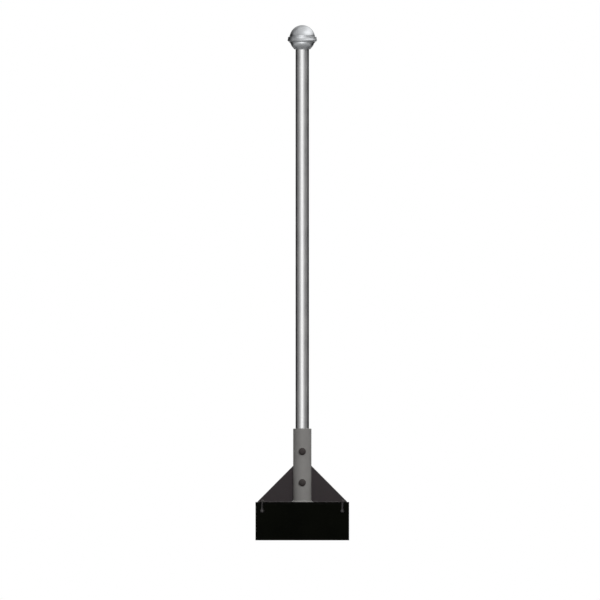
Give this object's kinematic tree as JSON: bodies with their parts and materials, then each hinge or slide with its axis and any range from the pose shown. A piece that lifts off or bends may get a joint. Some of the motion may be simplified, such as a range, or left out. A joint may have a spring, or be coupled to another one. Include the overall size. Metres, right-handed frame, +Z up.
{
  "type": "flagpole",
  "caption": "Freestanding flagpole: round metal pole with a two-part ball finial and drip ring, held in a gusseted socket sleeve on a base plate that is anchored to a square footing block.",
  "frame": {"origin": "middle of the footing block's underside", "axes": "+Z up along the pole, +X to the right of the front view along the gussets, -Y to the front, where the cross bolts have their heads"},
  "size_m": [0.589, 0.589, 3.241],
  "materials": {
    "footing": "black sealed concrete, fine grained",
    "plate": "matt black paint",
    "sleeve": "satin grey paint",
    "gusset": "matt dark grey-brown paint",
    "weld": "matt dark grey-brown paint over a rippled bead",
    "pole": "fine drawn satin steel",
    "spigot": "machined",
    "finial": "spun and polished steel",
    "bolt": "matt dark brown-black paint",
    "anchor": "dark phosphated steel"
  },
  "bodies": {
    "root": {"footing_block": "footing", "base_plate": "plate", "sleeve": "sleeve", "sleeve_foot_weld": "sleeve", "left_gusset": "gusset", "right_gusset": "gusset", "left_gusset_welds": "weld", "right_gusset_welds": "weld", "pole_tube": "pole", "finial_spigot": "spigot", "finial_lower_half": "finial", "finial_ring": "finial", "finial_upper_half": "finial", "upper_bolt": "bolt", "upper_nut": "bolt", "upper_front_saddle": "bolt", "upper_back_saddle": "bolt", "lower_bolt": "bolt", "lower_nut": "bolt", "lower_front_saddle": "bolt", "lower_back_saddle": "bolt", "front_left_anchor": "anchor", "front_left_anchor_washer": "bolt", "front_left_anchor_nut": "bolt", "front_right_anchor": "anchor", "front_right_anchor_washer": "bolt", "front_right_anchor_nut": "bolt", "back_left_anchor": "anchor", "back_left_anchor_washer": "bolt", "back_left_anchor_nut": "bolt", "back_right_anchor": "anchor", "back_right_anchor_washer": "bolt", "back_right_anchor_nut": "bolt"}
  },
  "joints": []
}
